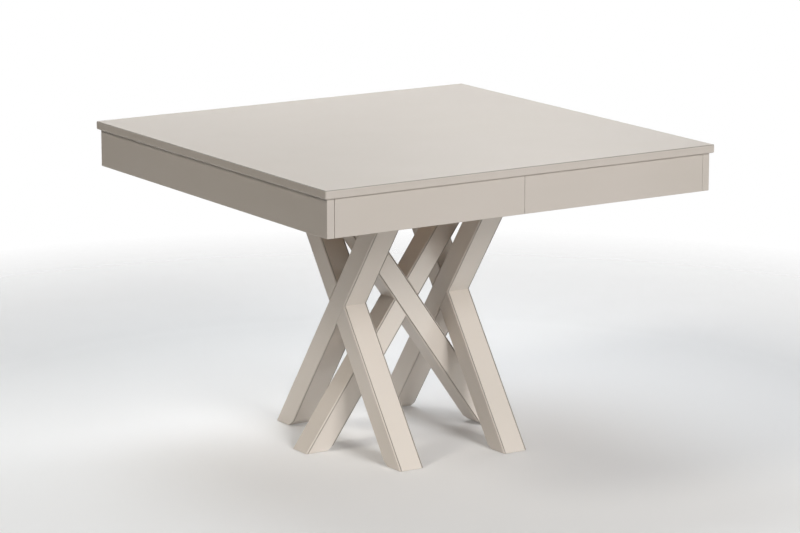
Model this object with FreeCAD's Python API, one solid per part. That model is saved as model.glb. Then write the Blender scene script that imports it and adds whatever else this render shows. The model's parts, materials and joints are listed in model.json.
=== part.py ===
import FreeCAD, Part
import math
import os

from FreeCAD import Vector

# Extending dining table in millimetres. Origin on the floor under the middle of
# the top, +Z up, X the way the halves of the top open, the front at -Y.

# Top
top_length = 1067.0
top_width = 1067.0
table_height = 746.0
top_thickness = 20.0
top_overhang = 8.5
top_edge_round = 3.0
top_corner_ease = 0.5

# Aprons, with the blocks and cleats behind them
apron_height = 90.0
apron_thickness = 19.0
apron_ease = 0.6
apron_seam_width = 0.8
apron_seam_depth = 5.0
corner_block_side = 60.0
corner_block_lift = 6.0
cleat_width = 18.0
cleat_height = 22.0
cleat_end_gap = 8.0

# Crossed leg frames
foot_spread = 500.0
cross_height = 350.0
leg_width = 56.0
leg_depth = 64.0
leg_ease = 2.2
leg_line_width = 1.8
leg_line_depth = 4.0
frame_clearance = 14.2
foot_clip_run = 11.0
foot_clip_rise = 13.0
glide_radius = 14.0
glide_thickness = 3.0
glide_proud = 1.0
glide_sides = 12

# Bearers that tie the leg tops together
bearer_thickness = 22.0
bearer_end = 10.0
leg_bolt_radius = 4.0
leg_bolt_head_radius = 7.0
leg_bolt_head_height = 4.0
leg_bolt_grip = 25.0

# Folding leaf, stored between the slides
leaf_length = 457.0
leaf_rest_height = 3.0
leaf_rest_width = 30.0
leaf_fold_gap = 0.5
leaf_top_gap = 5.5
leaf_side_gap = 10.0
leaf_hinge_radius = 6.0
leaf_hinge_depth = 25.0
leaf_hinge_link = 3.0
leaf_hinge_inset = 90.0

# Alignment pins in the meeting edges
pin_radius = 5.0
pin_grip = 25.0
pin_reach = 12.0
pin_nose = 1.5
pin_play = 0.4
pin_sides = 8

# Geared slides: a fixed rail between two runners, racks and a pinion
gear_module = 2.5
pinion_teeth = 16
pressure_angle = 20.0
addendum = 2.0
dedendum = 2.75
backlash = 0.5
pinion_face = 10.0
rack_height = 9.0
rack_backing = 4.0
rack_let_in = 2.0
rack_spare = 15.0
axle_radius = 5.0
axle_flange_width = 30.0
axle_flange_height = 1.5
axle_stem = 15.0
axle_neck_radius = 4.0
retainer_radius = 9.0
retainer_height = 1.5
rail_height = 25.0
runner_thickness = 24.0
runner_end_spare = 20.0
runner_floor_gap = 2.0
runner_top_gap = 1.5
tongue_height = 10.0
tongue_depth = 8.0
stop_dowel_radius = 3.0
stop_dowel_inset = 15.0
stop_gap = 0.5
screw_sides = 6
head_sides = 8
slide_screw_radius = 2.5
slide_screw_head_radius = 5.0
slide_screw_head_height = 3.0
slide_screw_grip = 12.0
runner_screw_sink = 20.0
runner_screw_inset = 45.0

# Swing locks under the seam
lock_plate = 2.0
lock_plate_length = 44.0
lock_plate_width = 30.0
lock_plate_setback = 5.0
lock_pivot_radius = 4.0
lock_stud_radius = 3.5
lock_head_radius = 6.0
lock_head_height = 2.0
lock_stud_setback = 12.0
lock_lever_thickness = 4.0
lock_lever_width = 14.0
lock_boss_wall = 6.0
lock_hook_wall = 5.5
lock_hook_sweep = 22.0
lock_handle_length = 34.0
lock_side_gap = 6.0
lock_tab_drop = 12.0
lock_swing = 70.0

# Clearances
slide_gap = 0.4
running_gap = 0.08
seat_gap = 0.1
face_gap = 0.3

# Levels of the top and its aprons
underside = table_height - top_thickness
apron_bottom = underside - apron_height
half_length = top_length / 2
half_width = top_width / 2
apron_x = half_length - top_overhang
apron_y = half_width - top_overhang
inner_x = apron_x - apron_thickness
inner_y = apron_y - apron_thickness
travel = leaf_length / 2
pin_level = underside + top_thickness / 2

# The bay under the top holds the folded leaf and the slides
leaf_stack = leaf_rest_height + 2 * top_thickness + leaf_fold_gap
gear_stack = rail_height + axle_flange_height + pinion_face + face_gap + retainer_height
bay_height = max(leaf_stack, gear_stack) + leaf_top_gap
bearer_top = underside - bay_height
leg_top = bearer_top - bearer_thickness
bearer_middle = leg_top + bearer_thickness / 2

# Lean of the legs, and the end frames' planes, just clear of the middle frame
slope = foot_spread / 2 / cross_height
leg_half_run = leg_width / 2 * math.sqrt(1 + slope * slope)
frame_offset = leg_depth + 2 * leg_half_run + frame_clearance
leg_top_run = (leg_top - cross_height) * slope

# Across a slide, measured from its pinion's axis
pinion_radius = gear_module * pinion_teeth / 2
tooth_pitch = math.pi * gear_module
tooth_width = (tooth_pitch - backlash) / 2
tooth_slant = math.tan(math.radians(pressure_angle))
rack_back = pinion_radius + dedendum + rack_backing
runner_face = rack_back - rack_let_in
runner_back = runner_face + runner_thickness
rail_half_width = runner_face - slide_gap
groove_floor = runner_face - tongue_depth - slide_gap
leaf_half_width = top_width / 4
slide_y = leaf_half_width + leaf_side_gap + runner_back
bearer_half = slide_y + rail_half_width + bearer_end

# Along a slide
rack_inner_teeth = math.ceil((travel + rack_spare) / tooth_pitch)
rack_outer_teeth = math.ceil(rack_spare / tooth_pitch)
runner_inner = rack_inner_teeth * tooth_pitch + runner_end_spare
rail_half = runner_inner
stop_x = rail_half - stop_dowel_inset
tongue_outer = stop_x - stop_dowel_radius - stop_gap - travel

# Up a slide
rail_top = bearer_top + rail_height
tongue_bottom = bearer_top + (rail_height - tongue_height) / 2
pinion_bottom = rail_top + axle_flange_height
rack_bottom = pinion_bottom + (pinion_face - rack_height) / 2
retainer_seat = pinion_bottom + pinion_face + face_gap
runner_bottom = bearer_top + runner_floor_gap

# Swing locks, whose hooks swing clear of the runners
lock_pivot_x = -(lock_plate_setback + lock_plate_length / 2)
lock_reach = lock_stud_setback - lock_pivot_x
lock_slot_half = lock_stud_radius + slide_gap
lock_hook_outer = lock_reach + lock_slot_half + lock_hook_wall
lock_y = slide_y + runner_back + lock_side_gap + lock_hook_outer
lock_plate_level = underside - lock_plate
lock_lever_top = lock_plate_level - face_gap
lock_lever_bottom = lock_lever_top - lock_lever_thickness

origin = Vector(0, 0, 0)
up = Vector(0, 0, 1)


def block(x0, x1, y0, y1, z0, z1):
    return Part.makeBox(x1 - x0, y1 - y0, z1 - z0, Vector(x0, y0, z0))


def post(radius, x, y, z0, z1):
    return Part.makeCylinder(radius, z1 - z0, Vector(x, y, z0), up)


def prism(points, way):
    return Part.Face(Part.makePolygon(points + points[:1])).extrude(way)


# Corners of a many-sided round, square to the axis that way points along
def ring(radius, centre, way, sides):
    u = Vector(way.y, way.z, way.x).normalize()
    v = way.cross(u).normalize()
    turns = [2 * math.pi * (side + 0.5) / sides for side in range(sides)]
    return [centre + u * (radius * math.cos(a)) + v * (radius * math.sin(a)) for a in turns]


# A peg with flat sides, for fasteners and their holes
def peg(radius, start, way, sides):
    return prism(ring(radius, start, way, sides), way)


def across_x(shape):
    return shape.mirror(origin, Vector(1, 0, 0))


def across_y(shape):
    return shape.mirror(origin, Vector(0, 1, 0))


def half_turn(shape):
    return shape.rotated(origin, up, 180)


def shifted(shape, x, y):
    return shape.translated(Vector(x, y, 0))


def save(node, *solids):
    shape = solids[0] if len(solids) == 1 else Part.makeCompound(list(solids))
    shape.exportStep("parts/" + node + ".step")


# A screw or bolt standing on its head's seat, head up or down. The same form with
# wider sizes is its hole.
def screw(x, y, seat, radius, grip, head_radius, head_height, head_up=True):
    way = up if head_up else -up
    start = Vector(x, y, seat)
    head = peg(head_radius, start, way * head_height, head_sides)
    return head.fuse(peg(radius, start, way * -grip, screw_sides))


# A pin along X with a bevelled nose at its free end
def pin(x0, x1, y, z):
    reach = Vector(x1 - pin_nose - x0, 0, 0)
    body = peg(pin_radius, Vector(x0, y, z), reach, pin_sides)
    rims = [ring(pin_radius, Vector(x1 - pin_nose, y, z), reach, pin_sides),
            ring(pin_radius - pin_nose, Vector(x1, y, z), reach, pin_sides)]
    nose = Part.makeLoft([Part.makePolygon(rim + rim[:1]) for rim in rims], True, True)
    return body.fuse(nose)


def pin_hole(x0, x1, y, z, play):
    return peg(pin_radius + play, Vector(x0, y, z), Vector(x1 - x0, 0, 0), pin_sides)


# Half of the top on the +X side: three edges rounded, the meeting edge square
def half_panel():
    slab = block(0, half_length, -half_width, half_width, underside, table_height)
    corners = [e for e in slab.Edges
               if e.BoundBox.ZLength > top_thickness / 2 and e.BoundBox.XMin > half_length / 2]
    slab = slab.makeFillet(top_edge_round + top_corner_ease, corners)
    rims = [e for e in slab.Edges
            if e.BoundBox.ZLength < top_edge_round and e.BoundBox.XMax > top_edge_round]
    return slab.makeFillet(top_edge_round, rims)


# A board with every edge eased but those against the top
def eased_board(x0, x1, y0, y1):
    board = block(x0, x1, y0, y1, apron_bottom, underside)
    edges = [e for e in board.Edges if e.BoundBox.ZMin < underside - apron_height / 4]
    return board.makeChamfer(apron_ease, edges)


# The +X half of the back apron, set back by a fine seam at both of its ends
def long_apron():
    board = eased_board(0, inner_x, inner_y, apron_y)
    for x0, x1 in ((0, apron_seam_width / 2), (inner_x - apron_seam_width, inner_x)):
        board = board.cut(block(x0, x1, apron_y - apron_seam_depth, apron_y, apron_bottom, underside))
    return board


def corner_block():
    corner = [Vector(inner_x, inner_y, apron_bottom + corner_block_lift),
              Vector(inner_x - corner_block_side, inner_y, apron_bottom + corner_block_lift),
              Vector(inner_x, inner_y - corner_block_side, apron_bottom + corner_block_lift)]
    return prism(corner, Vector(0, 0, apron_height - corner_block_lift))


# The cleats of the +X half: one inside each of its three aprons
def cleats():
    long_start = lock_handle_length - lock_pivot_x + cleat_end_gap
    long_end = inner_x - corner_block_side - cleat_end_gap
    end_reach = slide_y - runner_back - cleat_end_gap
    low = underside - cleat_height
    back = block(long_start, long_end, inner_y - cleat_width, inner_y, low, underside)
    end = block(inner_x - cleat_width, inner_x, -end_reach, end_reach, low, underside)
    return [across_y(back), end, back]


pin_rows = [row * top_width / 8 for row in (-3, -1, 1, 3)]


def build_top():
    right = half_panel()
    left = across_x(right)
    for y in pin_rows:
        left = left.cut(pin_hole(-pin_grip - seat_gap, 0, y, pin_level, seat_gap))
        right = right.cut(pin_hole(0, pin_reach + pin_play, y, pin_level, pin_play))
    for hole in runner_screws(seat_gap):
        right = right.cut(hole)
        left = left.cut(half_turn(hole))
    save("left_top_panel", left)
    save("right_top_panel", right)
    save("alignment_pins", *[pin(-pin_grip, pin_reach, y, pin_level) for y in pin_rows])


def build_aprons():
    end = eased_board(inner_x, apron_x, -apron_y, apron_y)
    back = long_apron()
    corner = corner_block()
    save("right_end_apron", end)
    save("left_end_apron", across_x(end))
    for name, board in (("apron", back), ("corner_block", corner)):
        save("right_back_" + name, board)
        save("left_back_" + name, across_x(board))
        save("right_front_" + name, across_y(board))
        save("left_front_" + name, across_x(across_y(board)))
    save("right_top_cleats", *cleats())
    save("left_top_cleats", *[across_x(cleat) for cleat in cleats()])


# A leg in its frame's plane: s runs along the frame, t through its thickness.
# A leg with its foot at +s is the through leg, cut away on the +t half.
def leg_outline(foot_side, low, high, clipped):
    def at(z, edge):
        return (foot_side * (edge * leg_half_run - (z - cross_height) * slope), z)

    outline = [at(low, 1), at(high, 1), at(high, -1)]
    if clipped:
        toe = foot_side * foot_clip_run
        outline.append(at(low + foot_clip_rise, -1))
        outline.append((at(low, -1)[0] + toe, low))
    else:
        outline.append(at(low, -1))
    return outline


# The fine slots beside a leg's eased edges, on its faces turned to the front and back
def edge_lines(foot_side, place):
    steep = math.sqrt(1 + slope * slope)
    low = -leg_width
    rise = leg_top - 2 * low
    along = place(-foot_side * rise * slope, 0, rise) - place(0, 0, 0)
    lines = []
    for edge in (-1, 1):
        outward = place(edge * foot_side / steep, 0, edge * slope / steep) - place(0, 0, 0)
        for side in (-1, 1):
            beside = place(0, side, 0) - place(0, 0, 0)
            run = edge * leg_half_run + (cross_height - low) * slope
            corner = place(foot_side * run, side * leg_depth / 2, low)
            faced, level = (beside, outward) if abs(beside.y) > 0.5 else (outward, beside)
            across = level * (leg_line_width / 2)
            inward = faced * -leg_line_depth
            middle = corner - level * leg_ease - across
            mouth = [middle - inward - across, middle - inward + across]
            lines.append(prism(mouth + [middle + inward + across, middle + inward - across], along))
    return lines


def leg(foot_side, place):
    def solid(outline, t0, t1):
        return prism([place(s, t0, z) for s, z in outline], place(0, t1, 0) - place(0, t0, 0))

    half = leg_depth / 2
    stick = solid(leg_outline(foot_side, glide_proud, leg_top, True), -half, half)
    long_edges = [e for e in stick.Edges if e.Length > (leg_top - cross_height) / 2]
    stick = stick.makeChamfer(leg_ease, long_edges)
    for line in edge_lines(foot_side, place):
        stick = stick.cut(line)
    lap_reach = 2 * leg_half_run / slope
    lap = leg_outline(-foot_side, cross_height - lap_reach, cross_height + lap_reach, False)
    lap_side = (0, half) if foot_side > 0 else (-half, 0)
    stick = stick.cut(solid(lap, *lap_side))
    top = place(-foot_side * leg_top_run, 0, 0)
    foot = place(foot_side * (foot_spread / 2 - glide_proud * slope + foot_clip_run / 2), 0, 0)
    stick = stick.cut(leg_bolt(top.x, top.y, seat_gap))
    return stick.cut(glide(foot, seat_gap)), top, foot


def glide(foot, play):
    return peg(glide_radius + play, foot, Vector(0, 0, glide_thickness), glide_sides)


def leg_bolt(x, y, play):
    seat = bearer_top - leg_bolt_head_height - face_gap
    grip = seat - leg_top + leg_bolt_grip
    head = leg_bolt_head_height + (2 * face_gap if play else 0)
    return screw(x, y, seat, leg_bolt_radius + play, grip + play, leg_bolt_head_radius + play, head)


def build_base():
    frames = {"left_frame": lambda s, t, z: Vector(t - frame_offset, s, z),
              "middle_frame": lambda s, t, z: Vector(s, t, z),
              "right_frame": lambda s, t, z: Vector(t + frame_offset, s, z)}
    tops = []
    feet = []
    for frame, place in frames.items():
        for kind, foot_side in (("through_leg", 1), ("lapped_leg", -1)):
            stick, top, foot = leg(foot_side, place)
            tops.append(top)
            feet.append(foot)
            save(frame + "_" + kind, stick)
    save("foot_glides", *[glide(foot, 0) for foot in feet])
    save("leg_bolts", *[leg_bolt(top.x, top.y, 0) for top in tops])

    half = leg_depth / 2
    long_half = leg_top_run + leg_half_run + bearer_end
    spine = block(-long_half, long_half, -half, half, leg_top, bearer_top)
    for x in (-frame_offset, frame_offset):
        spine = spine.cut(block(x - half, x + half, -half, half, leg_top, bearer_middle))
        cross = block(x - half, x + half, -bearer_half, bearer_half, leg_top, bearer_top)
        cross = cross.cut(block(x - half, x + half, -half, half, bearer_middle, bearer_top))
        for top in tops:
            cross = cross.cut(leg_bolt(top.x, top.y, seat_gap))
        for y in (-slide_y, slide_y):
            cross = cross.cut(rail_screw(x, y, seat_gap))
        save(("left" if x < 0 else "right") + "_cross_bearer", cross)
    for top in tops:
        spine = spine.cut(leg_bolt(top.x, top.y, seat_gap))
    save("long_bearer", spine)


def rail_screw(x, y, play):
    seat = rail_top - slide_screw_head_height - face_gap
    grip = seat - bearer_top + slide_screw_grip
    head = slide_screw_head_height + (2 * face_gap if play else 0)
    return screw(x, y, seat, slide_screw_radius + play, grip + play,
                 slide_screw_head_radius + play, head)


def runner_screw(x, y, play):
    seat = runner_bottom + runner_screw_sink
    grip = underside + slide_screw_grip - seat
    head = runner_screw_sink + face_gap if play else slide_screw_head_height
    return screw(x, y, seat, slide_screw_radius + play, grip + play,
                 slide_screw_head_radius + play, head, head_up=False)


# Screws of the right runners, which lie on the +Y side of each slide. Turned by half,
# they are those of the left runners.
def runner_screws(play):
    across = (runner_face + runner_back) / 2 + rack_let_in / 2
    columns = (runner_screw_inset, inner_x / 2, inner_x - runner_screw_inset)
    return [runner_screw(x, y + across, play) for y in (-slide_y, slide_y) for x in columns]


# The right half's runner: tongue and rack groove on its face towards the rail, its
# upper edge eased down where it lies under the other half
def right_runner(rack_start, rack_end):
    bar = block(-runner_inner, inner_x, runner_face, runner_back, runner_bottom, underside)
    bar = bar.cut(block(-runner_inner, runner_top_gap, runner_face, runner_back,
                        underside - runner_top_gap, underside))
    bar = bar.cut(block(rack_start, rack_end, runner_face, rack_back,
                        rack_bottom - seat_gap, rack_bottom + rack_height + seat_gap))
    tongue = block(-runner_inner, tongue_outer, runner_face - tongue_depth, runner_face,
                   tongue_bottom, tongue_bottom + tongue_height)
    return bar.fuse(tongue).removeSplitter()


# A rack facing the pinion from +Y, with a tooth space at x = phase
def rack(phase):
    base = pinion_radius + dedendum
    root_half = tooth_width / 2 + dedendum * tooth_slant
    tip_half = tooth_width / 2 - addendum * tooth_slant
    start = -rack_inner_teeth * tooth_pitch + phase
    end = rack_outer_teeth * tooth_pitch + phase
    outline = [(end, base), (end, rack_back), (start, rack_back), (start, base)]
    for tooth in range(-rack_inner_teeth, rack_outer_teeth):
        middle = (tooth + 0.5) * tooth_pitch + phase
        outline += [(middle - root_half, base), (middle - tip_half, pinion_radius - addendum),
                    (middle + tip_half, pinion_radius - addendum), (middle + root_half, base)]
    solid = prism([Vector(x, y, rack_bottom) for x, y in outline], Vector(0, 0, rack_height))
    return solid, start, end


# Involute pinion with one tooth pointing along +Y
def pinion():
    root = pinion_radius - dedendum
    tip = pinion_radius + addendum
    base = pinion_radius * math.cos(math.radians(pressure_angle))

    def turn(radius):
        roll = math.sqrt(max(radius / base, 1) ** 2 - 1)
        return roll - math.atan(roll)

    base_half = tooth_width / 2 / pinion_radius + turn(pinion_radius)

    def at(radius, angle):
        return Vector(radius * math.cos(angle), radius * math.sin(angle), pinion_bottom)

    def flank(middle, side, radii):
        return [at(r, middle + side * (base_half - turn(r))) for r in radii]

    rise = [base, (base + tip) / 2, tip]
    step = 2 * math.pi / pinion_teeth
    outline = []
    for tooth in range(pinion_teeth):
        middle = math.pi / 2 + tooth * step
        near = flank(middle, -1, rise)
        far = flank(middle, 1, rise[::-1])
        foot = at(root, middle - base_half)
        heel = at(root, middle + base_half)
        outline += [foot] + near + far + [heel]
    gear = prism(outline, Vector(0, 0, pinion_face))
    return gear.cut(post(axle_radius + running_gap, 0, 0, pinion_bottom, pinion_bottom + pinion_face))


# Stub axle: a stem in the rail, a square flange on it, the journal and a necked end
def pinion_axle(play):
    foot = Vector(0, 0, rail_top)
    stem = peg(axle_radius + play, foot, up * -(axle_stem + play), screw_sides)
    if play:
        return stem
    half = axle_flange_width / 2
    flange = block(-half, half, -half, half, rail_top, pinion_bottom)
    journal = post(axle_radius, 0, 0, pinion_bottom, retainer_seat)
    neck = peg(axle_neck_radius, Vector(0, 0, retainer_seat), up * (retainer_height + face_gap), head_sides)
    return stem.fuse([flange, journal, neck]).removeSplitter()


def pinion_retainer():
    seat = Vector(0, 0, retainer_seat)
    washer = peg(retainer_radius, seat, up * retainer_height, head_sides)
    return washer.cut(peg(axle_neck_radius + running_gap, seat, up * retainer_height, head_sides))


def stop_dowels(play):
    start = Vector(stop_x, (rail_half_width + groove_floor) / 2, bearer_top)
    dowel = peg(stop_dowel_radius + play, start, up * rail_height, screw_sides)
    return [dowel, half_turn(dowel)]


def fixed_rail():
    rail = block(-rail_half, rail_half, -rail_half_width, rail_half_width, bearer_top, rail_top)
    groove = block(-rail_half, rail_half, groove_floor, rail_half_width,
                   tongue_bottom - slide_gap, tongue_bottom + tongue_height + slide_gap)
    cutters = [groove, half_turn(groove), pinion_axle(seat_gap)] + stop_dowels(seat_gap)
    cutters += [rail_screw(x, 0, seat_gap) for x in (-frame_offset, frame_offset)]
    for cutter in cutters:
        rail = rail.cut(cutter)
    return rail


def build_slides():
    odd_phase = tooth_pitch / 2 if pinion_teeth % 2 else 0
    right_rack, right_start, right_end = rack(0)
    left_rack, left_start, left_end = rack(odd_phase)
    right_bar = right_runner(right_start, right_end)
    left_bar = right_runner(left_start, left_end)
    for name, y in (("front", -slide_y), ("back", slide_y)):
        right = shifted(right_bar, 0, y)
        left = shifted(half_turn(left_bar), 0, y)
        for hole in runner_screws(seat_gap):
            right = right.cut(hole)
            left = left.cut(half_turn(hole))
        save(name + "_right_runner", right)
        save(name + "_left_runner", left)
        save(name + "_right_rack", shifted(right_rack, 0, y))
        save(name + "_left_rack", shifted(half_turn(left_rack), 0, y))
        save(name + "_fixed_rail", shifted(fixed_rail(), 0, y))
        save(name + "_pinion", shifted(pinion(), 0, y))
        save(name + "_pinion_axle", shifted(pinion_axle(0), 0, y))
        save(name + "_pinion_retainer", shifted(pinion_retainer(), 0, y))
        save(name + "_stop_dowels", *[shifted(dowel, 0, y) for dowel in stop_dowels(0)])
    save("right_runner_screws", *runner_screws(0))
    save("left_runner_screws", *[half_turn(one) for one in runner_screws(0)])
    save("rail_screws", *[rail_screw(x, y, 0) for x in (-frame_offset, frame_offset)
                          for y in (-slide_y, slide_y)])


# The folded leaf: panels with pins on their +X edges and sockets on the opposite ones,
# hinged at +Y, their other ends rounded as the top's edges are
def build_leaf():
    low = bearer_top + leaf_rest_height
    levels = (low, low + top_thickness + leaf_fold_gap)
    hinge_columns = (leaf_hinge_inset - travel, 0, travel - leaf_hinge_inset)
    rows = (-leaf_half_width / 2, leaf_half_width / 2)
    inward = Vector(0, -1, 0)
    pins = []
    for name, z in zip(("lower", "upper"), levels):
        middle = z + top_thickness / 2
        panel = block(-travel, travel, -leaf_half_width, leaf_half_width, z, z + top_thickness)
        rims = [e for e in panel.Edges if e.BoundBox.YMax < 0 and e.BoundBox.XLength > travel]
        panel = panel.makeFillet(top_edge_round, rims)
        for y in rows:
            panel = panel.cut(pin_hole(travel - pin_grip - seat_gap, travel, y, middle, seat_gap))
            panel = panel.cut(pin_hole(-travel, pin_reach + pin_play - travel, y, middle, pin_play))
            pins.append(pin(travel - pin_grip, travel + pin_reach, y, middle))
        for x in hinge_columns:
            mouth = Vector(x, leaf_half_width, middle)
            panel = panel.cut(peg(leaf_hinge_radius + seat_gap, mouth,
                                  inward * (leaf_hinge_depth + seat_gap), pin_sides))
        save("leaf_" + name + "_panel", panel)
    save("leaf_pins", *pins)
    save("leaf_hinges", *[leaf_hinge(x, levels) for x in hinge_columns])
    start = leg_depth / 2 + bearer_end
    end = leg_top_run - leg_half_run
    rest = block(frame_offset - leaf_rest_width / 2, frame_offset + leaf_rest_width / 2,
                 start, end, bearer_top, low)
    pair = [rest, across_y(rest)]
    save("leaf_rests", *(pair + [across_x(one) for one in pair]))


# Barrel hinge: a barrel in each panel's edge and a round-ended link between them
def leaf_hinge(x, levels):
    centres = [z + top_thickness / 2 for z in levels]
    outer = leaf_half_width + leaf_hinge_link
    inward = Vector(0, -(leaf_hinge_depth + leaf_hinge_link), 0)
    pieces = [peg(leaf_hinge_radius, Vector(x, outer, z), inward, pin_sides) for z in centres]
    link_half = leaf_hinge_radius * math.cos(math.pi / pin_sides)
    link = block(x - link_half, x + link_half, leaf_half_width, outer, centres[0], centres[1])
    return pieces[0].fuse([pieces[1], link]).removeSplitter()


# The back lock, whose lever closes by turning anticlockwise seen from above
def lock_base():
    middle = -(lock_plate_setback + lock_plate_length / 2)
    plate = block(middle - lock_plate_length / 2, middle + lock_plate_length / 2,
                  lock_y - lock_plate_width / 2, lock_y + lock_plate_width / 2,
                  lock_plate_level, underside)
    head_top = lock_lever_bottom - face_gap
    pivot = post(lock_pivot_radius, lock_pivot_x, lock_y, head_top, lock_plate_level)
    head = peg(lock_head_radius, Vector(lock_pivot_x, lock_y, head_top), up * -lock_head_height, head_sides)
    return plate.fuse([pivot, head]).removeSplitter()


def lock_keeper():
    far = lock_stud_setback + lock_plate_length / 2
    plate = block(lock_plate_setback, far, lock_y - lock_plate_width / 2,
                  lock_y + lock_plate_width / 2, lock_plate_level, underside)
    head_top = lock_lever_bottom - face_gap
    foot = Vector(lock_stud_setback, lock_y, head_top)
    stud = peg(lock_stud_radius, foot, up * (lock_plate_level - head_top), head_sides)
    head = peg(lock_head_radius, foot, up * -lock_head_height, head_sides)
    return plate.fuse([stud, head]).removeSplitter()


def lock_lever():
    inner = lock_reach - lock_slot_half - lock_hook_wall
    z0 = lock_lever_bottom
    tall = lock_lever_thickness
    centre = Vector(0, 0, z0)

    def sector(r0, r1, start, sweep):
        wedge = Part.makeCylinder(r1, tall, centre, up, sweep)
        wedge.rotate(origin, up, start)
        return wedge.cut(post(r0, 0, 0, z0, z0 + tall))

    hook = sector(inner, lock_hook_outer, -lock_hook_sweep / 2, lock_hook_sweep)
    slot = sector(lock_reach - lock_slot_half, lock_reach + lock_slot_half, 0, lock_hook_sweep)
    slot_end = post(lock_slot_half, lock_reach, 0, z0, z0 + tall)
    boss = post(lock_pivot_radius + lock_boss_wall, 0, 0, z0, z0 + tall)
    half = lock_lever_width / 2
    arm = block(0, inner + lock_hook_wall / 2, -half, half, z0, z0 + tall)
    handle = block(-lock_handle_length, 0, -half, half, z0, z0 + tall)
    tab = block(-lock_handle_length, -lock_handle_length + tall, -half, half, z0 - lock_tab_drop, z0)
    lever = boss.fuse([arm, handle, tab, hook]).removeSplitter()
    for cutter in (slot, slot_end, post(lock_pivot_radius + running_gap, 0, 0, z0, z0 + tall)):
        lever = lever.cut(cutter)
    lever.rotate(origin, up, -lock_swing)
    return shifted(lever, lock_pivot_x, lock_y)


def build_locks():
    for name, shape in (("lock_plate", lock_base()), ("lock_keeper", lock_keeper()),
                        ("lock_lever", lock_lever())):
        save("back_" + name, shape)
        save("front_" + name, across_y(shape))


os.makedirs("parts", exist_ok=True)
build_top()
build_aprons()
build_base()
build_slides()
build_leaf()
build_locks()
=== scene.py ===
import json
import math

import bmesh
import bpy
from mathutils import Matrix, Vector


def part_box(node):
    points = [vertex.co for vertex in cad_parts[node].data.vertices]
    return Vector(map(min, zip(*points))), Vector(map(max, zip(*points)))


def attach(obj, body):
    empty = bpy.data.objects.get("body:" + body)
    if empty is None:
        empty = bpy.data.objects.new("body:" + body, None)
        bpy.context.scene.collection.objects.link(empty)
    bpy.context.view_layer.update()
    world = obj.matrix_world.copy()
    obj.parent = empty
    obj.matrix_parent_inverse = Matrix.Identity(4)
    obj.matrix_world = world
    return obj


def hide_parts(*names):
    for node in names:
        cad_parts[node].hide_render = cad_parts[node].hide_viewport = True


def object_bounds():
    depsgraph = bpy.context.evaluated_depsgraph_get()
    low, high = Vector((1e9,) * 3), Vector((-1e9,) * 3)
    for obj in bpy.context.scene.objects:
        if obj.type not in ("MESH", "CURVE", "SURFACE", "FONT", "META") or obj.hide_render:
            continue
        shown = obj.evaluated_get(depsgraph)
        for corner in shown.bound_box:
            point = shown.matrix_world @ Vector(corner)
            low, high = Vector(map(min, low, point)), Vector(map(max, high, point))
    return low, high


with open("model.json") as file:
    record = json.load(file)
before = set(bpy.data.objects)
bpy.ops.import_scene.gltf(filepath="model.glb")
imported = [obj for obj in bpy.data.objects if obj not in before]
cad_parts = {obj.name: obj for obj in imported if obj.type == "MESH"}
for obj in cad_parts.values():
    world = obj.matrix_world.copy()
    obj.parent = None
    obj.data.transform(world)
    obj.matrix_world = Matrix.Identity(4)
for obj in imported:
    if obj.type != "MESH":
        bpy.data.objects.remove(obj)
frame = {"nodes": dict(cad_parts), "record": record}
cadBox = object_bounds()
nodes = frame["nodes"]


# Display values 0-255 as scene colours, by the sRGB curve
def tone(red, green, blue):
    def linear(value):
        share = value / 255
        return share / 12.92 if share <= 0.04045 else ((share + 0.055) / 1.055) ** 2.4

    return (linear(red), linear(green), linear(blue), 1)


# A socket that can be written into sums
class Wire:
    def __init__(self, bench, socket):
        self.bench = bench
        self.socket = socket

    def maths(self, operation, left, right):
        return self.bench.node("ShaderNodeMath", {"operation": operation}, {0: left, 1: right})

    def __add__(self, other):
        return self.maths("ADD", self, other)

    def __sub__(self, other):
        return self.maths("SUBTRACT", self, other)

    def __rsub__(self, other):
        return self.maths("SUBTRACT", other, self)

    def __mul__(self, other):
        return self.maths("MULTIPLY", self, other)

    def __abs__(self):
        return self.maths("ABSOLUTE", self, 0)

    __radd__ = __add__
    __rmul__ = __mul__


# A node tree being built
class Bench:
    def __init__(self, tree):
        self.tree = tree

    def node(self, kind, settings=None, sockets=None, output=0):
        made = self.tree.nodes.new(kind)
        for key, value in (settings or {}).items():
            setattr(made, key, value)
        for key, value in (sockets or {}).items():
            self.feed(made.inputs[key], value)
        return Wire(self, made.outputs[output])

    def feed(self, socket, value):
        if isinstance(value, Wire):
            self.tree.links.new(value.socket, socket)
        else:
            socket.default_value = value

    def scaled(self, vector, factors):
        return self.node("ShaderNodeVectorMath", {"operation": "MULTIPLY"}, {0: vector, 1: factors})

    def noise(self, vector, size, detail=2.0, roughness=0.5, distortion=0.0):
        sockets = {"Vector": vector, "Scale": 1 / size, "Detail": detail,
                   "Roughness": roughness, "Distortion": distortion}
        return self.node("ShaderNodeTexNoise", {}, sockets)

    # Mix has its colours on sockets 6 and 7, and its vectors on 4 and 5
    def blend(self, share, first, second):
        sockets = {"Factor": share, 6: first, 7: second}
        return self.node("ShaderNodeMix", {"data_type": "RGBA"}, sockets, output=2)

    def choose(self, share, first, second):
        sockets = {"Factor": share, 4: first, 5: second}
        return self.node("ShaderNodeMix", {"data_type": "VECTOR"}, sockets, output=1)

    # 0 below low, 1 above high
    def step(self, value, low, high):
        sockets = {"Value": value, "From Min": low, "From Max": high}
        return self.node("ShaderNodeMapRange", {"clamp": True}, sockets)

    def along(self, vector, axis):
        return self.node("ShaderNodeSeparateXYZ", {}, {0: vector}, output=axis)


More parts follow.
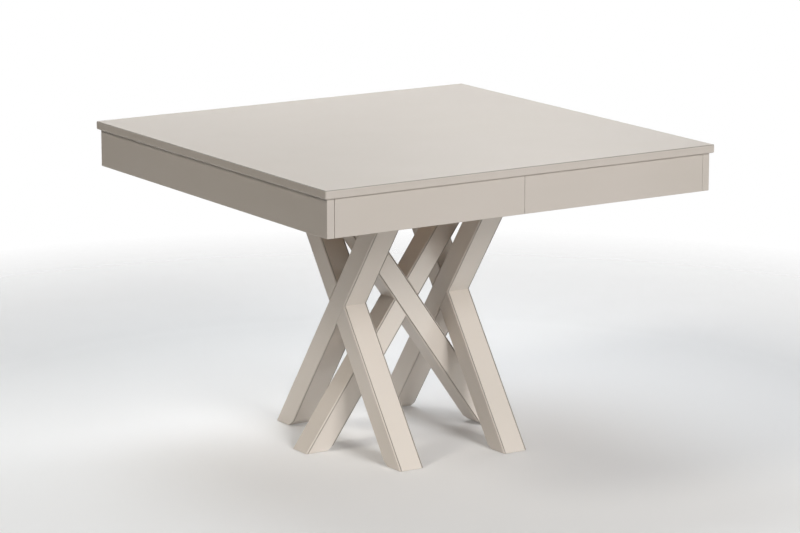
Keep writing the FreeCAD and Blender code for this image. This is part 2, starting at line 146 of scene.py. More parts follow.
# One surface finish
class Finish(Bench):
    def __init__(self, name, **constants):
        self.material = bpy.data.materials.new(name)
        self.material.use_nodes = True
        super().__init__(self.material.node_tree)
        self.shader = self.tree.nodes["Principled BSDF"]
        self.place = self.node("ShaderNodeTexCoord", output="Object")
        self.surface(**constants)

    # Sockets of the shader itself, by name with the gaps left out
    def surface(self, **values):
        byName = {socket.name.replace(" ", ""): socket for socket in self.shader.inputs}
        for name, value in values.items():
            self.feed(byName[name], value)

    def relief(self, height, depth):
        sockets = {"Height": height, "Distance": depth, "Strength": 1.0}
        self.surface(Normal=self.node("ShaderNodeBump", {}, sockets))


# Smooth sprayed paint: faint clouding, an orange peel too fine to see from a step away
paintLook = {
    "colour": tone(212, 203, 194),
    "cloud": tone(209, 200, 190),
    "cloudSize": 0.30,
    "cloudEdges": (0.3, 0.7),
    "peelSize": 0.0026,
    "peelDepth": 0.000035,
    "sagSize": 0.04,
    "sagShare": 0.6,
    "gloss": 0.40,
    "glossSwing": 0.10,
}


def greigePaint(name, lines=None, shadeColour=None):
    look = paintLook
    paint = Finish(name, SpecularIORLevel=0.5)
    clouds = paint.noise(paint.place, look["cloudSize"], detail=4.0)
    sags = paint.noise(paint.place, look["sagSize"], detail=1.0)
    peel = paint.noise(paint.place, look["peelSize"], detail=1.5)
    cloudy = paint.step(clouds, *look["cloudEdges"])
    colour = paint.blend(cloudy, look["colour"], look["cloud"])
    # Painted shade: the lines, where there are any, take a darker colour
    if lines:
        colour = paint.blend(lines(paint), colour, shadeColour)
    uneven = clouds + peel - 1  # each noise lies about a half
    paint.surface(BaseColor=colour, Roughness=look["gloss"] + uneven * look["glossSwing"])
    paint.relief(peel + sags * look["sagShare"], look["peelDepth"])
    return paint.material


# Painted shade: the insides of the fine slots beside the legs' eased edges are painted darker,
# and so is a thin line along the top's rounded edge, just below its face
slotLook = {
    # Painted shade inside the slots
    "colour": tone(180, 172, 163),
    "fromEdge": 0.0031,  # to the slot's middle
    "half": 0.0009,
    "soft": 0.0003,
    "legWidth": 0.056,
    "lean": 250 / 350,  # sideways on the way up
    "crossing": 0.35,  # height where a frame's legs cross
    # Painted shade: a thin darker line along the top's rounded edge
    "bandColour": tone(152, 144, 135),
    "bandDrop": 0.0009,  # below the top's face
    "bandHalf": 0.0005,
}


# 1 in a line, by its way off the line's middle
def inLine(paint, off, half):
    return 1 - paint.step(off, half, half + slotLook["soft"])


# An end frame's slots keep their x all the way up, the middle frame's lean with its legs
def legPaint(node):
    look = slotLook
    low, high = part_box(node)
    across = (1, 0, 0)
    middle = (low.x + high.x) / 2
    reach = (high.x - low.x) / 2
    if node.startswith("middle"):
        lean = look["lean"] if "through" in node else -look["lean"]
        steep = math.hypot(1, lean)
        across = (1 / steep, 0, lean / steep)
        middle = lean * look["crossing"] / steep
        reach = look["legWidth"] / 2

    # Painted shade: a darker line along the middle of each slot
    def slots(paint):
        way = paint.node("ShaderNodeVectorMath", {"operation": "DOT_PRODUCT"},
                         {0: paint.place, 1: across}, output="Value")
        fromSlot = abs(abs(way - middle) - (reach - look["fromEdge"]))
        return inLine(paint, fromSlot, look["half"])

    return greigePaint("greige_" + node, slots, look["colour"])


# Painted shade along the top's rounded edges, a thin line just below its face
def topPaint():
    look = slotLook
    joint = cadBox[1][2] - look["bandDrop"]

    def band(paint):
        return inLine(paint, abs(paint.along(paint.place, "Z") - joint), look["bandHalf"])

    return greigePaint("greige_top", band, look["bandColour"])


# Planed hardwood under a clear sealer, its grain along one axis of the table
woodLook = {
    "early": tone(214, 178, 132),
    "late": tone(186, 143, 96),
    "ringSize": 0.011,
    "ringEdges": (0.36, 0.66),
    "wanderSize": 0.05,
    "wanderShare": 0.4,  # the rings have the rest
    "stretch": 0.045,
    "fibreSize": 0.0016,
    "streakEdges": (0.5, 0.9),
    "streaks": 0.4,
    "pore": tone(132, 94, 58),
    "poreSize": 0.0011,
    "poreEdges": (0.66, 0.74),
    "pores": 0.55,
    "gloss": 0.46,
    "fibreDull": 0.2,
    "poreDull": 0.15,
    "depth": 0.00012,
    "fibreHeight": 0.5,
    "cleatTurn": 0.40,  # the end cleats lie within this way from the middle, the others beyond
    "turnSoft": 0.001,
}


def hardwood(name, along, turnsAt=None):
    look = woodLook
    wood = Finish(name, SpecularIORLevel=0.4)

    def drawnOut(stretch):
        ways = [[stretch if axis == way else 1.0 for axis in "xyz"] for way in along]
        drawn = wood.scaled(wood.place, ways[0])
        if turnsAt:  # the second way holds beyond this distance from the middle
            beyond = abs(wood.along(wood.place, "Y"))
            turned = wood.step(beyond, turnsAt, turnsAt + look["turnSoft"])
            drawn = wood.choose(turned, drawn, wood.scaled(wood.place, ways[1]))
        return drawn

    drawn = drawnOut(look["stretch"])
    wander = wood.noise(drawn, look["wanderSize"], detail=3.0)
    rings = wood.noise(drawn, look["ringSize"], detail=3.0, roughness=0.55, distortion=0.6)
    fibres = wood.noise(drawn, look["fibreSize"], detail=3.0, roughness=0.7)
    flecks = wood.noise(drawnOut(look["stretch"] * 2), look["poreSize"], detail=1.0)
    pores = wood.step(flecks, *look["poreEdges"])
    figure = rings * (1 - look["wanderShare"]) + wander * look["wanderShare"]
    body = wood.blend(wood.step(figure, *look["ringEdges"]), look["early"], look["late"])
    streaks = wood.step(fibres, *look["streakEdges"]) * look["streaks"]
    streaked = wood.blend(streaks, body, look["late"])
    dull = (fibres - 0.5) * look["fibreDull"]
    wood.surface(BaseColor=wood.blend(pores * look["pores"], streaked, look["pore"]),
                 Roughness=look["gloss"] + dull + pores * look["poreDull"])
    wood.relief(fibres * look["fibreHeight"] - pores, look["depth"])
    return wood.material


# Zinc plate over steel, clear passivated: a faint cold and warm bloom
zincLook = {
    "cold": tone(190, 197, 206),
    "warm": tone(205, 201, 188),
    "bloomSize": 0.012,
    "bloomEdges": (0.35, 0.65),
    "grainSize": 0.0006,
    "rolledStretch": 0.06,
    "gloss": 0.30,
    "grainDull": 0.18,
    "bloomDull": 0.10,
    "depth": 0.00002,
}


def zincPlate(name, rolled=None):
    look = zincLook
    zinc = Finish(name, Metallic=1.0)
    place = zinc.place
    if rolled:
        ways = [look["rolledStretch"] if axis == rolled else 1.0 for axis in "xyz"]
        place = zinc.scaled(place, ways)
    bloom = zinc.noise(zinc.place, look["bloomSize"], detail=3.0, distortion=1.0)
    grain = zinc.noise(place, look["grainSize"], detail=2.0)
    dull = (bloom - 0.5) * look["bloomDull"]
    warmth = zinc.step(bloom, *look["bloomEdges"])
    zinc.surface(BaseColor=zinc.blend(warmth, look["cold"], look["warm"]),
                 Roughness=look["gloss"] + grain * look["grainDull"] + dull)
    zinc.relief(grain, look["depth"])
    return zinc.material


# Turned brass, dulled a little in the hand
brassLook = {
    "bright": tone(214, 178, 104),
    "dull": tone(166, 128, 70),
    "bloomSize": 0.010,
    "bloomEdges": (0.42, 0.72),
    "turnSize": 0.0004,
    "turnStretch": (1.0, 0.08, 0.08),
    "gloss": 0.26,
    "turnDull": 0.14,
    "bloomDull": 0.12,
    "depth": 0.00002,
}


def turnedBrass():
    look = brassLook
    brass = Finish("turned_brass", Metallic=1.0)
    bloom = brass.noise(brass.place, look["bloomSize"], detail=4.0, distortion=0.8)
    lathed = brass.scaled(brass.place, look["turnStretch"])
    turns = brass.noise(lathed, look["turnSize"], detail=1.0)
    dulled = brass.step(bloom, *look["bloomEdges"])
    brass.surface(BaseColor=brass.blend(dulled, look["bright"], look["dull"]),
                  Roughness=look["gloss"] + turns * look["turnDull"] + bloom * look["bloomDull"])
    brass.relief(turns, look["depth"])
    return brass.material


# Natural nylon: milky, faintly mottled, with the soft sheen of a moulding
nylonLook = {
    "milk": tone(232, 229, 217),
    "mottle": tone(219, 213, 196),
    "mottleSize": 0.018,
    "mottleEdges": (0.35, 0.7),
    "skinSize": 0.0012,
    "gloss": 0.42,
    "glossSwing": 0.14,
    "depth": 0.00003,
}


def mouldedNylon():
    look = nylonLook
    nylon = Finish("moulded_nylon", SubsurfaceWeight=0.12, SubsurfaceScale=0.002)
    mottle = nylon.noise(nylon.place, look["mottleSize"], detail=4.0, distortion=0.5)
    skin = nylon.noise(nylon.place, look["skinSize"], detail=2.0)
    mottled = nylon.step(mottle, *look["mottleEdges"])
    nylon.surface(BaseColor=nylon.blend(mottled, look["milk"], look["mottle"]),
                  Roughness=look["gloss"] + (skin + mottle - 1) * look["glossSwing"])
    nylon.relief(skin, look["depth"])
    return nylon.material


# Matt glides under the feet, scuffed by the floor
glideLook = {
    "body": tone(150, 143, 132),
    "scuff": tone(176, 170, 160),
    "scuffSize": 0.004,
    "scuffStretch": (1.0, 0.2, 1.0),
    "scuffEdges": (0.52, 0.68),
    "pitSize": 0.0008,
    "gloss": 0.55,
    "scuffDull": 0.2,
    "depth": 0.00006,
}


def mattGlide():
    look = glideLook
    glide = Finish("matt_glide")
    dragged = glide.scaled(glide.place, look["scuffStretch"])
    scuffs = glide.noise(dragged, look["scuffSize"], detail=5.0)
    pits = glide.noise(glide.place, look["pitSize"], detail=2.0)
    scuffed = glide.step(scuffs, *look["scuffEdges"])
    glide.surface(BaseColor=glide.blend(scuffed, look["body"], look["scuff"]),
                  Roughness=look["gloss"] + scuffs * look["scuffDull"])
    glide.relief(pits, look["depth"])
    return glide.material


# Pressed felt: short crossed fibres, fuzzy at its edges
feltLook = {
    "dark": tone(84, 80, 75),
    "light": tone(128, 122, 113),
    "fibreSize": 0.0009,
    "lying": (1.0, 0.25, 1.0),
    "crossing": (0.25, 1.0, 1.0),
    "tangle": {"detail": 3.0, "roughness": 0.6, "distortion": 1.5},
    "fibreEdges": (0.38, 0.62),
    "gloss": 0.86,
    "fibreDull": 0.12,
    "depth": 0.0005,
}


def pressedFelt():
    look = feltLook
    felt = Finish("pressed_felt", SheenWeight=0.35, SheenRoughness=0.6, SpecularIORLevel=0.1)
    size, tangle = look["fibreSize"], look["tangle"]
    lying = felt.noise(felt.scaled(felt.place, look["lying"]), size, **tangle)
    crossing = felt.noise(felt.scaled(felt.place, look["crossing"]), size, **tangle)
    fibres = lying * 0.5 + crossing * 0.5
    shade = felt.step(fibres, *look["fibreEdges"])
    felt.surface(BaseColor=felt.blend(shade, look["dark"], look["light"]),
                 Roughness=look["gloss"] + fibres * look["fibreDull"])
    felt.relief(fibres, look["depth"])
    return felt.material


def longWay(node):
    low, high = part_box(node)
    size = list(high - low)
    return "xyz"[size.index(max(size))]


# Every piece of the frame takes the finish of its slot in the record, the legs and the top
# with their painted shade lines
def dressFrame():
    shared = {"painted_wood": greigePaint("greige_paint"), "steel": zincPlate("zinc_plate"),
              "lock_steel": zincPlate("rolled_zinc_plate", rolled="x"), "nylon": mouldedNylon(),
              "glide": mattGlide(), "felt": pressedFelt(), "brass": turnedBrass()}
    top = topPaint()
    woods = {axis: hardwood("hardwood_along_" + axis, axis) for axis in "xyz"}
    woods["cleats"] = hardwood("hardwood_cleats", "yx", turnsAt=woodLook["cleatTurn"])
    for part in frame["record"]["subparts"]:
        node = part["node"]
        way = "cleats" if node.endswith("_cleats") else longWay(node)
        finish = shared.get(part["material_slot"]) or woods[way]
        if node.endswith("_leg"):
            finish = legPaint(node)
        elif node.endswith("_top_panel"):
            finish = top
        for place in nodes[node].material_slots:
            place.material = finish
    return shared, woods


finishes, woods = dressFrame()
print("finishes:", len(finishes) + len(woods), "shared, and the lined paints of legs and top")

# What all the small hardware shares
hardwareLook = {
    "sides": 28,
    "weld": 1e-6,
    "sharp": 33,  # degrees
}
up = (0, 0, 1)
down = (0, 0, -1)


# Loose solids of a piece of the frame, each as its lowest and highest corner
def solidsOf(node):
    shape = bmesh.new()
    shape.from_mesh(nodes[node].data)
    bmesh.ops.remove_doubles(shape, verts=shape.verts, dist=hardwareLook["weld"])
    waiting = set(shape.verts)
    boxes = []
    while waiting:
        pile = [waiting.pop()]
        corners = []
        while pile:
            corner = pile.pop()
            corners.append(corner.co.copy())
            near = {edge.other_vert(corner) for edge in corner.link_edges} & waiting
            waiting -= near
            pile += near
        low = Vector([min(corner[axis] for corner in corners) for axis in range(3)])
        high = Vector([max(corner[axis] for corner in corners) for axis in range(3)])
        boxes.append((low, high))
    shape.free()
    return sorted(boxes, key=lambda box: [round(value, 4) for value in box[0]])


def seat(place, way=up):
    return Matrix.Translation(place) @ Vector(way).to_track_quat("Z", "Y").to_matrix().to_4x4()


def circle(radius, sides=hardwareLook["sides"]):
    turns = [2 * math.pi * step / sides for step in range(sides)]
    return [(radius * math.cos(turn), radius * math.sin(turn)) for turn in turns]


def crossMouth(reach, width):
    arm = [(width, reach), (-width, reach), (-width, width)]
    points = list(arm)
    for quarter in range(3):
        arm = [(-y, x) for x, y in arm]
        points += arm
    return points


# Small hardware, made finer than the frame shows it
class Hardware:
    def __init__(self):
        self.shape = bmesh.new()

    def corners(self, at, outline, height):
        return [self.shape.verts.new(at @ Vector((x, y, height))) for x, y in outline]

    def wall(self, lower, upper):
        for step in range(max(len(lower), len(upper))):
            ring = [lower[step % len(lower)], lower[(step + 1) % len(lower)],
                    upper[(step + 1) % len(upper)], upper[step % len(upper)]]
            self.shape.faces.new(list(dict.fromkeys(ring)))

    # (radius, height) pairs turned about the seat's axis
    def turn(self, at, profile, sides=hardwareLook["sides"]):
        rings = []
        for radius, height in profile:
            rings.append(self.corners(at, circle(radius, sides) if radius else [(0, 0)], height))
        for lower, upper in zip(rings, rings[1:]):
            self.wall(lower, upper)

    def cap(self, *loops):
        edges = []
        for loop in loops:
            edges += [self.shape.edges.get(pair) or self.shape.edges.new(pair)
                      for pair in zip(loop, loop[1:] + loop[:1])]
        bmesh.ops.triangle_fill(self.shape, edges=edges, use_beauty=True)

    # A flat cap with a driver's recess sunk into it
    def recess(self, at, rim, mouth, height, depth):
        lip = self.corners(at, mouth, height)
        floor = self.corners(at, mouth, height - depth)
        self.cap(self.corners(at, rim, height), lip)
        self.wall(floor, lip)
        self.cap(floor)

    # An outline pulled up to a thickness
    def plate(self, at, outline, thickness):
        lower = self.corners(at, outline, 0)
        upper = self.corners(at, outline, thickness)
        self.wall(lower, upper)
        self.cap(lower)
        self.cap(upper)

    def done(self, name, body, slot, finish, *replaced):
        bmesh.ops.remove_doubles(self.shape, verts=self.shape.verts, dist=hardwareLook["weld"])
        bmesh.ops.recalc_face_normals(self.shape, faces=self.shape.faces)
        for face in self.shape.faces:
            face.smooth = True
        for edge in self.shape.edges:
            edge.smooth = edge.calc_face_angle(0) < math.radians(hardwareLook["sharp"])
        mesh = bpy.data.meshes.new(name)
        self.shape.to_mesh(mesh)
        self.shape.free()
        mesh.materials.append(finish)
        piece = bpy.data.objects.new(name, mesh)
        bpy.context.scene.collection.objects.link(piece)
        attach(piece, body)
        if replaced:
            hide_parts(*replaced)


# Wood screws with a cross recess, and the cup washers of those in the rails
screwLook = {
    "shank": 0.0021,
    "shankMost": 0.6,  # of the head's radius
    "headHeight": 0.003,
    "bevel": 0.8,
    "rimRise": 0.4,
    "domeRise": 0.8,
    "crossReach": 0.58,
    "crossWidth": 0.13,
    "crossDepth": 0.0016,
    "crossMost": 0.8,  # of the head's height
    "cupHole": 0.0049,
    "cupCrest": (0.0060, 0.0068),
    "cupRadius": 0.0076,
    "cupUnder": 0.0053,
    "cupHeight": 0.0008,
    "cupDip": 0.2,  # of its height, at the hole
    "cupFoot": 0.00004,
    "sunk": 0.0003,
}


# A screw whose head stands on the seat and faces the seat's way
def crossHead(kit, at, radius, height, grip):
    look = screwLook
    shank = min(look["shank"], radius * look["shankMost"])
    face = radius * look["bevel"]
    kit.turn(at, [(0, -grip), (shank, shank - grip), (shank, 0), (radius, 0),
                  (radius, height * look["rimRise"]),
                  ((radius + face) / 2, height * look["domeRise"]), (face, height)])
    mouth = crossMouth(radius * look["crossReach"], radius * look["crossWidth"])
    depth = min(look["crossDepth"], height * look["crossMost"])
    kit.recess(at, circle(face), mouth, height, depth)


def cupWasher(kit, at):
    look = screwLook
    rise = look["cupHeight"]
    hole = (look["cupHole"], rise * look["cupDip"])
    crest = [(radius, rise) for radius in look["cupCrest"]]
    foot = [(radius, look["cupFoot"]) for radius in (look["cupRadius"], look["cupUnder"])]
    kit.turn(at, [hole] + crest + foot + [hole])


def slideScrews():
    tall = screwLook["headHeight"]
    kit = Hardware()
    for low, high in solidsOf("rail_screws"):
        middle = (low + high) / 2
        top = high.z - tall
        place = seat((middle.x, middle.y, top))
        crossHead(kit, place, (high.x - low.x) / 2, tall, top - low.z)
        cupWasher(kit, seat((middle.x, middle.y, high.z + screwLook["sunk"])))
    kit.done("cross_head_rail_screws", "base", "steel", finishes["steel"], "rail_screws")
    for side in ("left", "right"):
        kit = Hardware()
        for low, high in solidsOf(side + "_runner_screws"):
            middle = (low + high) / 2
            head = low.z + tall
            place = seat((middle.x, middle.y, head), down)
            crossHead(kit, place, (high.x - low.x) / 2, tall, high.z - head)
        kit.done("cross_head_" + side + "_runner_screws", side + "_half", "steel",
                 finishes["steel"], side + "_runner_screws")


# Socket bolts that hold the legs to the bearers
boltLook = {
    "shank": 0.0034,
    "headHeight": 0.004,
    "bevel": 0.86,
    "rimRise": 0.75,
    "socket": 0.0031,
    "socketSides": 6,
    "socketDepth": 0.0028,
}


def legBolts():
    look = boltLook
    shank, tall = look["shank"], look["headHeight"]
    kit = Hardware()
    for low, high in solidsOf("leg_bolts"):
        middle = (low + high) / 2
        radius = (high.x - low.x) / 2
        top = high.z - tall
        at = seat((middle.x, middle.y, top))
        face = radius * look["bevel"]
        kit.turn(at, [(0, low.z - top), (shank, low.z - top), (shank, 0), (radius, 0),
                      (radius, tall * look["rimRise"]), (face, tall)])
        socket = circle(look["socket"], look["socketSides"])
        kit.recess(at, circle(face), socket, tall, look["socketDepth"])
    kit.done("socket_head_leg_bolts", "base", "steel", finishes["steel"], "leg_bolts")


# Small screws in the cleats, corner blocks, lock plates and keepers
fixingLook = {
    "head": 0.0034,
    "height": 0.0018,
    "grip": 0.004,
    "cleatSpacing": 0.13,
    "blockRows": (0.28, 0.72),
    "plate": 0.002,
    "plateCorner": (0.016, 0.011),
    "plateHead": 0.0028,
    "plateHeight": 0.0013,
    "keeperReach": 0.006,
    "keeperAcross": 0.010,
}


def fixingScrew(kit, at):
    crossHead(kit, at, fixingLook["head"], fixingLook["height"], fixingLook["grip"])


def cleatScrews(kit, side):
    for low, high in solidsOf(side + "_top_cleats"):
        size = high - low
        axis = 0 if size.x > size.y else 1
        count = max(2, round(size[axis] / fixingLook["cleatSpacing"]))
        for step in range(count):
            place = (low + high) / 2
            place[axis] = low[axis] + size[axis] * (step + 0.5) / count
            place.z = low.z
            fixingScrew(kit, seat(place, down))


def blockScrews(kit, side):
    for end in ("front", "back"):
        low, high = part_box(side + "_" + end + "_corner_block")
        middle = (low + high) / 2
        way = (math.copysign(1, -middle.x), math.copysign(1, -middle.y), 0)
        for row in fixingLook["blockRows"]:
            place = Vector((middle.x, middle.y, low.z + (high.z - low.z) * row))
            fixingScrew(kit, seat(place, way))


def plateScrews(kit, side):
    look = fixingLook
    for end, mirrored in (("front", -1), ("back", 1)):
        low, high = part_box(end + ("_lock_plate" if side == "left" else "_lock_keeper"))
        middle = (low + high) / 2
        for turn in (-1, 1):
            if side == "left":
                across, along = look["plateCorner"]
                x, y = middle.x + turn * across, middle.y + turn * mirrored * along
            else:
                x, y = high.x - look["keeperReach"], middle.y + turn * look["keeperAcross"]
            at = seat((x, y, high.z - look["plate"]), down)
            crossHead(kit, at, look["plateHead"], look["plateHeight"], look["plate"])


def fixingScrews():
    for side in ("left", "right"):
        kit = Hardware()
        cleatScrews(kit, side)
        blockScrews(kit, side)
        plateScrews(kit, side)
        kit.done(side + "_fixing_screws", side + "_half", "steel", finishes["steel"])


# Turned brass pins with a rounded nose
pinLook = {
    "nose": 0.0016,
    "noseTurns": (0.5, 1.0, 1.57),
    "chamfer": 0.0004,
}


def turnedPins(node, name, body):
    nose, chamfer = pinLook["nose"], pinLook["chamfer"]
    kit = Hardware()
    for low, high in solidsOf(node):
        size = high - low
        middle = (low + high) / 2
        radius = min(size.y, size.z) / 2
        profile = [(0, 0), (radius - chamfer, 0), (radius, chamfer), (radius, size.x - nose)]
        profile += [(radius - nose * (1 - math.cos(turn)), size.x - nose + nose * math.sin(turn))
                    for turn in pinLook["noseTurns"]]
        profile.append((0, size.x))
        kit.turn(seat((low.x, middle.y, middle.z), (1, 0, 0)), profile)
    kit.done(name, body, "brass", finishes["brass"], node)


# Barrel hinges of the leaf: two slotted barrels, and the link between them
hingeLook = {
    "barrel": 0.95,  # of the room in the frame
    "slots": (0.30, 0.55, 0.80),
    "slotWidth": 0.0012,
    "slotDepth": 0.0004,
    "foot": 0.0003,
    "tip": 0.001,
    "link": 0.72,  # of the barrel
    "linkThickness": 0.0014,
    "linkDrop": 0.0003,
}


def stadium(half, spread, sides=12):
    turns = [math.pi * step / sides for step in range(sides + 1)]
    over = [(half * math.cos(turn), spread + half * math.sin(turn)) for turn in turns]
    return over + [(-x, -y) for x, y in over]


def barrelHinges():
    look = hingeLook
    foot, tip, wide, thick = look["foot"], look["tip"], look["slotWidth"], look["linkThickness"]
    kit = Hardware()
    for low, high in solidsOf("leaf_hinges"):
        size = high - low
        middle = (low + high) / 2
        radius = size.x / 2 * look["barrel"]
        spread = size.z / 2 - radius
        profile = [(0, 0), (radius - foot, 0), (radius, foot)]
        for share in look["slots"]:
            slot = size.y * share
            profile += [(radius, slot), (radius - look["slotDepth"], slot + wide / 2),
                        (radius, slot + wide)]
        profile += [(radius, size.y - tip), (radius - tip, size.y), (0, size.y)]
        for level in (-1, 1):
            kit.turn(seat((middle.x, high.y, middle.z + level * spread), (0, -1, 0)), profile)
        kit.plate(seat((middle.x, high.y - thick, middle.z), (0, 1, 0)),
                  stadium(radius * look["link"], spread), thick - look["linkDrop"])
    kit.done("barrel_leaf_hinges", "base", "brass", finishes["brass"], "leaf_hinges")


# Glides with a rolled rim, round the nail that holds each
glideShape = {
    "sides": 40,
    "roll": 0.0012,
    "rollTurns": (0, 0.52, 1.05, 1.57),
    "dimple": 0.0034,
    "dimpleFloor": 0.8,  # of the dimple
    "dimpleDepth": 0.0005,
}


def footGlides():
    look = glideShape
    roll, dimple, deep = look["roll"], look["dimple"], look["dimpleDepth"]
    kit = Hardware()
    for low, high in solidsOf("foot_glides"):
        middle = (low + high) / 2
        radius = min(high.x - low.x, high.y - low.y) / 2
        profile = [(0, deep), (dimple * look["dimpleFloor"], deep), (dimple, 0)]
        profile += [(radius - roll + roll * math.sin(turn), roll - roll * math.cos(turn))
                    for turn in look["rollTurns"]]
        profile += [(radius, high.z - low.z), (0, high.z - low.z)]
        kit.turn(seat((middle.x, middle.y, low.z)), profile, look["sides"])
    kit.done("turned_foot_glides", "base", "glide", finishes["glide"], "foot_glides")


# Stub axles, and the sprung washers pressed on their necks
axleLook = {
    "stem": 0.0042,
    "flange": 0.015,
    "flangeHeight": 0.0015,
    "flangeCorner": 0.003,
    "journal": 0.005,
    "neck": 0.0036,
    "tip": 0.0006,
    "gap": 0.0003,
    "washerRadius": 0.0086,
    "washerInner": 0.0038,
    "washerSlit": 0.0058,
    "washerSheet": 0.0005,
    "washerDish": 0.0009,
    "petals": 6,
    "petalSides": 6,
}


def roundedSquare(half, corner, steps=5):
    inset = half - corner
    points = []
    for quarter in range(4):
        diagonal = math.pi / 2 * quarter + math.pi / 4
        for step in range(steps + 1):
            turn = math.pi / 2 * (quarter + step / steps)
            x = math.copysign(inset, math.cos(diagonal)) + corner * math.cos(turn)
            y = math.copysign(inset, math.sin(diagonal)) + corner * math.sin(turn)
            points.append((x, y))
    return points


# A dished washer slit into petals round its hole
def starWasher(end, at):
    look = axleLook
    kit = Hardware()
    sides = look["petals"] * look["petalSides"]
    inner = []
    for step, (x, y) in enumerate(circle(1, sides)):
        slit = step % look["petalSides"] == 0
        radius = look["washerSlit"] if slit else look["washerInner"]
        inner.append((x * radius, y * radius, 0 if slit else look["washerDish"]))
    rings = []
    for lift in (0, look["washerSheet"]):
        rim = kit.corners(at, circle(look["washerRadius"], sides), lift)
        edge = [kit.shape.verts.new(at @ Vector((x, y, z + lift))) for x, y, z in inner]
        kit.wall(rim, edge)
        rings.append((rim, edge))
    for under, over in zip(*rings):
        kit.wall(under, over)
    kit.done(end + "_star_washer", "base", "steel", finishes["steel"], end + "_pinion_retainer")


def pinionSeats():
    look = axleLook
    stem, journal, neck, tip = look["stem"], look["journal"], look["neck"], look["tip"]
    for end in ("front", "back"):
        low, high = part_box(end + "_pinion_axle")
        pinionLow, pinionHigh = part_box(end + "_pinion")
        middle = (pinionLow + pinionHigh) / 2
        flange = pinionLow.z - look["flangeHeight"]
        shoulder = pinionHigh.z + look["gap"] - flange
        top = high.z - flange
        at = seat((middle.x, middle.y, flange))
        kit = Hardware()
        kit.turn(at, [(0, low.z - flange), (stem, low.z - flange), (stem, 0)])
        kit.plate(at, roundedSquare(look["flange"], look["flangeCorner"]), look["flangeHeight"])
        kit.turn(at, [(journal, look["flangeHeight"]), (journal, shoulder), (neck, shoulder),
                      (neck, top - tip), (neck - tip, top), (0, top)])
        kit.done(end + "_stub_axle", "base", "steel", finishes["steel"], end + "_pinion_axle")
        starWasher(end, seat((middle.x, middle.y, pinionHigh.z + look["gap"])))


# Round dowels that end the runners' travel, with a slightly domed end
dowelLook = {
    "lift": 0.00005,
    "rim": 0.0003,
    "face": 0.0002,
    "faceLift": 0.00025,
    "crown": 0.0003,
}


def roundDowels():
    look = dowelLook
    for end in ("front", "back"):
        kit = Hardware()
        for low, high in solidsOf(end + "_stop_dowels"):
            middle = (low + high) / 2
            wide = max(high.x - low.x, high.y - low.y) / 2
            narrow = min(high.x - low.x, high.y - low.y) / 2
            tall = high.z - low.z
            rim = tall + look["lift"]
            kit.turn(seat((middle.x, middle.y, low.z)),
                     [(0, 0), (narrow, 0), (narrow, rim), (wide + look["rim"], rim),
                      (wide + look["face"], tall + look["faceLift"]), (0, tall + look["crown"])])
        kit.done(end + "_round_dowels", "base", "raw_wood", woods["z"], end + "_stop_dowels")


slideScrews()
legBolts()
fixingScrews()
turnedPins("alignment_pins", "turned_alignment_pins", "left_half")
turnedPins("leaf_pins", "turned_leaf_pins", "base")
barrelHinges()
footGlides()
pinionSeats()
roundDowels()


# Pale floor that fades out into the white behind it
floorLook = {
    "radius": 2.6,
    "colour": tone(234, 234, 234),
    "glow": 0.09,
    "fadeFrom": 1.25,
    "fadeTo": 2.5,
}


def paleFloor():
    look = floorLook
    mesh = bpy.data.meshes.new("studio_floor")
    shape = bmesh.new()
    bmesh.ops.create_circle(shape, cap_ends=True, radius=look["radius"], segments=96)
    shape.to_mesh(mesh)
    shape.free()
    floor = bpy.data.objects.new("studio_floor", mesh)
    bpy.context.scene.collection.objects.link(floor)
    finish = Finish("pale_floor", BaseColor=look["colour"], Roughness=0.7, SpecularIORLevel=0.1,
                    EmissionColor=(1, 1, 1, 1), EmissionStrength=look["glow"])
    away = finish.node("ShaderNodeVectorMath", {"operation": "LENGTH"},
                       {0: finish.place}, output="Value")
    finish.surface(Alpha=1 - finish.step(away, look["fadeFrom"], look["fadeTo"]))
    mesh.materials.append(finish.material)


paleFloor()

# Soft studio light: a broad key from the front, and small ones that shape the top and the ends
lamps = {
    "key_light": {"at": (0.2, -6.0, 3.4), "aim": (0, 0, 0.45), "size": 2.6, "watts": 287},
    "left_light": {"at": (-3.9, 0.3, 4.2), "aim": (0, 0, 0.45), "size": 1.6, "watts": 82,
                   "tint": (1, 0.96, 0.88)},
    "over_back_light": {"at": (0.3, 1.75, 2.7), "aim": (0.1, 0.6, 0.75), "size": 2.0, "watts": 14,
                        "tint": (0.88, 0.94, 1), "spread": 90},
    "over_right_light": {"at": (1.7, 1.5, 2.3), "aim": (0.3, 0.3, 0.75), "size": 1.6, "watts": 17},
}
# These reach the legs alone, and only the top, the aprons and the legs shade them
legLamps = {
    "leg_low_light": {"at": (1.8, -2.5, 0.3), "aim": (0, 0, 0.15), "size": 1.4, "watts": 15,
                      "tint": (0.95, 1, 1)},
    "leg_side_light": {"at": (-5.0, 0.5, 2.4), "aim": (0, 0, 0.35), "size": 3.4, "watts": 40,
                       "tint": (1, 0.98, 0.92)},
    "leg_corner_light": {"at": (-2.6, -4.2, 2.6), "aim": (0, 0, 0.35), "size": 2.0, "watts": 25,
                         "tint": (0.95, 1, 1)},
}


def gathered(name, *endings):
    group = bpy.data.collections.new(name)
    for node, piece in nodes.items():
        if node.endswith(endings):
            group.objects.link(piece)
    return group


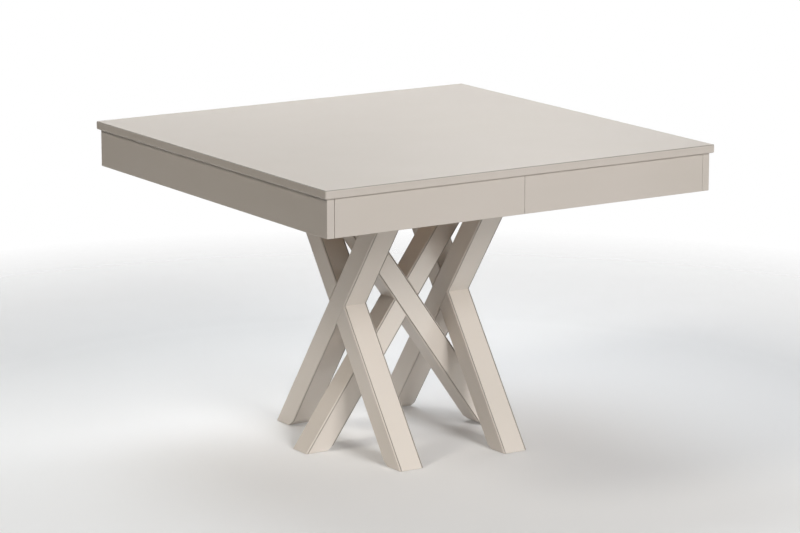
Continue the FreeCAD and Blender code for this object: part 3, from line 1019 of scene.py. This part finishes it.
def areaLight(name, lamp, reached=None, shading=None):
    data = bpy.data.lights.new(name, "AREA")
    data.shape = "DISK"
    data.size = lamp["size"]
    data.energy = lamp["watts"]
    data.color = lamp.get("tint", (1, 1, 1))
    data.spread = math.radians(lamp.get("spread", 180))
    light = bpy.data.objects.new(name, data)
    light.location = lamp["at"]
    way = Vector(lamp["aim"]) - Vector(lamp["at"])
    light.rotation_euler = way.to_track_quat("-Z", "Y").to_euler()
    light.light_linking.receiver_collection = reached
    light.light_linking.blocker_collection = shading
    bpy.context.scene.collection.objects.link(light)


def studioLight():
    legs = gathered("legs", "_leg")
    shades = gathered("shades", "_top_panel", "_apron", "_leg")
    for name, lamp in lamps.items():
        areaLight(name, lamp)
    for name, lamp in legLamps.items():
        areaLight(name, lamp, legs, shades)


# The room is plain white to the eye and lights the table only a little
roomLook = {
    "front": 0.10,
    "back": 0.02,
    "backEdges": (-0.2, 0.9),
    "above": 0.08,
    "aboveEdges": (0.35, 0.85),
    "below": 0.02,
    "belowEdges": (-0.12, 0.02),
}


def whiteRoom():
    look = roomLook
    front, below = look["front"], look["below"]
    world = bpy.data.worlds.new("white_room")
    world.use_nodes = True
    bpy.context.scene.world = world
    walls = Bench(world.node_tree)
    facing = walls.node("ShaderNodeTexCoord", output="Generated")
    back = walls.along(facing, "Y")
    height = walls.along(facing, "Z")
    around = front + walls.step(back, *look["backEdges"]) * (look["back"] - front)
    bright = around + walls.step(height, *look["aboveEdges"]) * (look["above"] - around)
    lit = below + walls.step(height, *look["belowEdges"]) * (bright - below)
    seen = walls.node("ShaderNodeLightPath", output="Is Camera Ray")
    backdrop = world.node_tree.nodes["Background"]
    backdrop.inputs["Color"].default_value = (1, 1, 1, 1)
    walls.feed(backdrop.inputs["Strength"], seen + (1 - seen) * lit)


studioLight()
whiteRoom()
print("light:", len(lamps) + len(legLamps), "lamps and the room")

# A long lens a little above the table, to the left of its front
viewpoint = {
    "location": (-4.41118, -6.875182, 2.180801),
    "yaw": 32.692,
    "pitch": 12.17,
    "lens": 156.435,
    "sensor": 36.0,
}


def tableCamera():
    view = viewpoint
    data = bpy.data.cameras.new("table_camera")
    data.lens = view["lens"]
    data.sensor_width = view["sensor"]
    camera = bpy.data.objects.new("table_camera", data)
    camera.location = view["location"]
    camera.rotation_euler = (math.radians(90 - view["pitch"]), 0, math.radians(-view["yaw"]))
    bpy.context.scene.collection.objects.link(camera)
    bpy.context.scene.camera = camera


tableCamera()
bpy.context.scene.view_settings.view_transform = "Standard"
